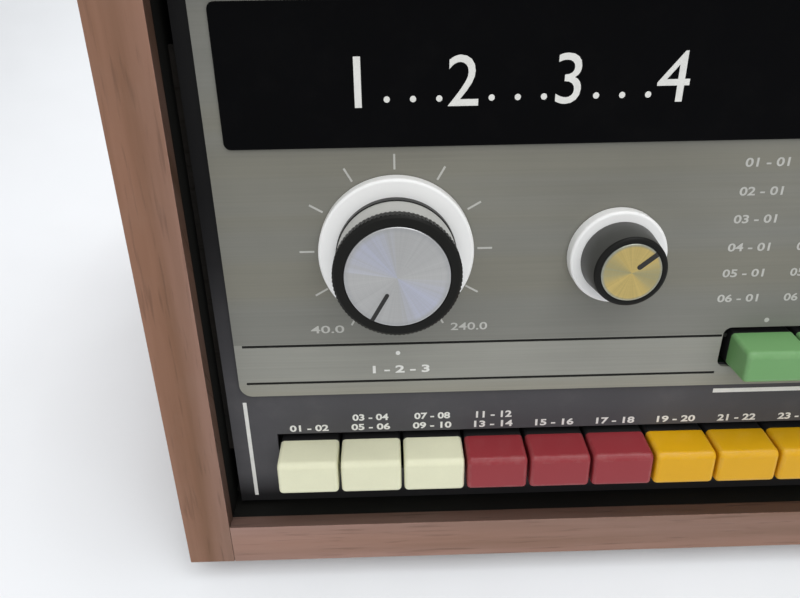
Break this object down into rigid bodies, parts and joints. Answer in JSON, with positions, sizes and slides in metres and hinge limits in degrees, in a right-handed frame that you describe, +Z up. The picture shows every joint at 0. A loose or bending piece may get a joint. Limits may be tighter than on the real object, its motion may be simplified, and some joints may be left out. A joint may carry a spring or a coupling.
{
  "type": "drum machine",
  "caption": "Preset rhythm machine in a wooden case: sloping brushed panel with turning knobs, rows of sprung coloured keys, a start bar and rear sockets.",
  "frame": {"origin": "middle of the case's footprint, on the surface that the feet stand on", "axes": "+X to the right along the case, +Y from the front to the back, +Z up"},
  "size_m": [0.428, 0.17, 0.1821],
  "materials": {
    "walnut": "satin oiled walnut veneer",
    "pine": "bare softwood",
    "rear_paint": "matt black paint",
    "plated_steel": "zinc plated",
    "black_rubber": "moulded",
    "charcoal_paint": "satin charcoal paint",
    "brushed_fascia": "brushed and anodised",
    "black_gloss": "polished",
    "red_lens": "clear tinted",
    "control_can": "pressed and plated",
    "switch_wafer": "phenolic laminate",
    "bank_plating": "yellow passivated",
    "board_laminate": "lacquered laminate",
    "component_cans": "sleeved",
    "pillar_brass": "turned",
    "transformer_core": "varnished laminations",
    "socket_black": "moulded",
    "key_cream": "moulded gloss",
    "key_crimson": "moulded gloss",
    "key_yellow": "moulded gloss",
    "key_green": "moulded gloss",
    "disc_white": "moulded gloss",
    "knob_charcoal": "moulded, fine ribs",
    "cap_aluminium": "spun",
    "cap_brass": "spun"
  },
  "bodies": {
    "case": {"left_side_board": "walnut", "right_side_board": "walnut", "top_board": "walnut", "base_board": "walnut", "front_rail": "walnut", "corner_blocks": "pine", "rear_panel": "rear_paint", "case_screws": "plated_steel", "rubber_feet": "black_rubber", "chassis_panel": "charcoal_paint", "packing_strips": "pine", "chassis_screws": "plated_steel", "fascia_plate": "brushed_fascia", "name_window": "black_gloss", "beat_lamp": "red_lens", "potentiometers": "control_can", "pattern_switch": "switch_wafer", "control_nuts": "plated_steel", "lower_key_bank": "bank_plating", "upper_key_bank": "bank_plating", "key_springs": "plated_steel", "circuit_board": "board_laminate", "board_components": "component_cans", "board_pillars": "pillar_brass", "transformer": "transformer_core", "jack_sockets": "socket_black", "cord_gland": "black_rubber", "fuse_holder": "socket_black"},
    "cream_key_1": {"cream_key_1": "key_cream"},
    "cream_key_2": {"cream_key_2": "key_cream"},
    "cream_key_3": {"cream_key_3": "key_cream"},
    "crimson_key_1": {"crimson_key_1": "key_crimson"},
    "crimson_key_2": {"crimson_key_2": "key_crimson"},
    "crimson_key_3": {"crimson_key_3": "key_crimson"},
    "yellow_key_1": {"yellow_key_1": "key_yellow"},
    "yellow_key_2": {"yellow_key_2": "key_yellow"},
    "yellow_key_3": {"yellow_key_3": "key_yellow"},
    "green_key_1": {"green_key_1": "key_green"},
    "green_key_2": {"green_key_2": "key_green"},
    "green_key_3": {"green_key_3": "key_green"},
    "cream_key_4": {"cream_key_4": "key_cream"},
    "cream_key_5": {"cream_key_5": "key_cream"},
    "cream_key_6": {"cream_key_6": "key_cream"},
    "start_bar": {"start_bar": "key_cream"},
    "upper_key_1": {"upper_key_1": "key_green"},
    "upper_key_2": {"upper_key_2": "key_green"},
    "upper_key_3": {"upper_key_3": "key_green"},
    "upper_key_4": {"upper_key_4": "key_green"},
    "tempo": {"tempo_disc": "disc_white", "tempo_knob": "knob_charcoal", "tempo_cap": "cap_aluminium", "tempo_shaft": "plated_steel"},
    "pattern": {"pattern_disc": "disc_white", "pattern_knob": "knob_charcoal", "pattern_cap": "cap_brass", "pattern_shaft": "plated_steel"},
    "volume": {"volume_disc": "disc_white", "volume_knob": "knob_charcoal", "volume_cap": "cap_aluminium", "volume_shaft": "plated_steel"}
  },
  "joints": [
    {"name": "cream_key_1_press", "type": "slide", "parent": "case", "child": "cream_key_1", "axis": [0, 0.866, -0.5], "range_m": [0, 0.0045], "stiffness_N_per_m": 300, "springref_m": -0.0015},
    {"name": "cream_key_2_press", "type": "slide", "parent": "case", "child": "cream_key_2", "axis": [0, 0.866, -0.5], "range_m": [0, 0.0045], "stiffness_N_per_m": 300, "springref_m": -0.0015},
    {"name": "cream_key_3_press", "type": "slide", "parent": "case", "child": "cream_key_3", "axis": [0, 0.866, -0.5], "range_m": [0, 0.0045], "stiffness_N_per_m": 300, "springref_m": -0.0015},
    {"name": "crimson_key_1_press", "type": "slide", "parent": "case", "child": "crimson_key_1", "axis": [0, 0.866, -0.5], "range_m": [0, 0.0045], "stiffness_N_per_m": 300, "springref_m": -0.0015},
    {"name": "crimson_key_2_press", "type": "slide", "parent": "case", "child": "crimson_key_2", "axis": [0, 0.866, -0.5], "range_m": [0, 0.0045], "stiffness_N_per_m": 300, "springref_m": -0.0015},
    {"name": "crimson_key_3_press", "type": "slide", "parent": "case", "child": "crimson_key_3", "axis": [0, 0.866, -0.5], "range_m": [0, 0.0045], "stiffness_N_per_m": 300, "springref_m": -0.0015},
    {"name": "yellow_key_1_press", "type": "slide", "parent": "case", "child": "yellow_key_1", "axis": [0, 0.866, -0.5], "range_m": [0, 0.0045], "stiffness_N_per_m": 300, "springref_m": -0.0015},
    {"name": "yellow_key_2_press", "type": "slide", "parent": "case", "child": "yellow_key_2", "axis": [0, 0.866, -0.5], "range_m": [0, 0.0045], "stiffness_N_per_m": 300, "springref_m": -0.0015},
    {"name": "yellow_key_3_press", "type": "slide", "parent": "case", "child": "yellow_key_3", "axis": [0, 0.866, -0.5], "range_m": [0, 0.0045], "stiffness_N_per_m": 300, "springref_m": -0.0015},
    {"name": "green_key_1_press", "type": "slide", "parent": "case", "child": "green_key_1", "axis": [0, 0.866, -0.5], "range_m": [0, 0.0045], "stiffness_N_per_m": 300, "springref_m": -0.0015},
    {"name": "green_key_2_press", "type": "slide", "parent": "case", "child": "green_key_2", "axis": [0, 0.866, -0.5], "range_m": [0, 0.0045], "stiffness_N_per_m": 300, "springref_m": -0.0015},
    {"name": "green_key_3_press", "type": "slide", "parent": "case", "child": "green_key_3", "axis": [0, 0.866, -0.5], "range_m": [0, 0.0045], "stiffness_N_per_m": 300, "springref_m": -0.0015},
    {"name": "cream_key_4_press", "type": "slide", "parent": "case", "child": "cream_key_4", "axis": [0, 0.866, -0.5], "range_m": [0, 0.0045], "stiffness_N_per_m": 300, "springref_m": -0.0015},
    {"name": "cream_key_5_press", "type": "slide", "parent": "case", "child": "cream_key_5", "axis": [0, 0.866, -0.5], "range_m": [0, 0.0045], "stiffness_N_per_m": 300, "springref_m": -0.0015},
    {"name": "cream_key_6_press", "type": "slide", "parent": "case", "child": "cream_key_6", "axis": [0, 0.866, -0.5], "range_m": [0, 0.0045], "stiffness_N_per_m": 300, "springref_m": -0.0015},
    {"name": "upper_key_1_press", "type": "slide", "parent": "case", "child": "upper_key_1", "axis": [0, 0.866, -0.5], "range_m": [0, 0.0045], "stiffness_N_per_m": 300, "springref_m": -0.0015},
    {"name": "upper_key_2_press", "type": "slide", "parent": "case", "child": "upper_key_2", "axis": [0, 0.866, -0.5], "range_m": [0, 0.0045], "stiffness_N_per_m": 300, "springref_m": -0.0015},
    {"name": "upper_key_3_press", "type": "slide", "parent": "case", "child": "upper_key_3", "axis": [0, 0.866, -0.5], "range_m": [0, 0.0045], "stiffness_N_per_m": 300, "springref_m": -0.0015},
    {"name": "upper_key_4_press", "type": "slide", "parent": "case", "child": "upper_key_4", "axis": [0, 0.866, -0.5], "range_m": [0, 0.0045], "stiffness_N_per_m": 300, "springref_m": -0.0015},
    {"name": "start_bar_press", "type": "slide", "parent": "case", "child": "start_bar", "axis": [0, 0.866, -0.5], "range_m": [0, 0.0045], "stiffness_N_per_m": 500, "springref_m": -0.0015},
    {"name": "tempo_turn", "type": "hinge", "parent": "case", "child": "tempo", "pos_m": [-0.142, -0.02291, 0.09755], "axis": [0, 0.866, -0.5], "range_deg": [0, 300]},
    {"name": "pattern_turn", "type": "hinge", "parent": "case", "child": "pattern", "pos_m": [-0.0792, -0.02416, 0.09538], "axis": [0, 0.866, -0.5], "range_deg": [-120, 30]},
    {"name": "volume_turn", "type": "hinge", "parent": "case", "child": "volume", "pos_m": [0.142, -0.02291, 0.09755], "axis": [0, 0.866, -0.5], "range_deg": [-150, 150]}
  ]
}
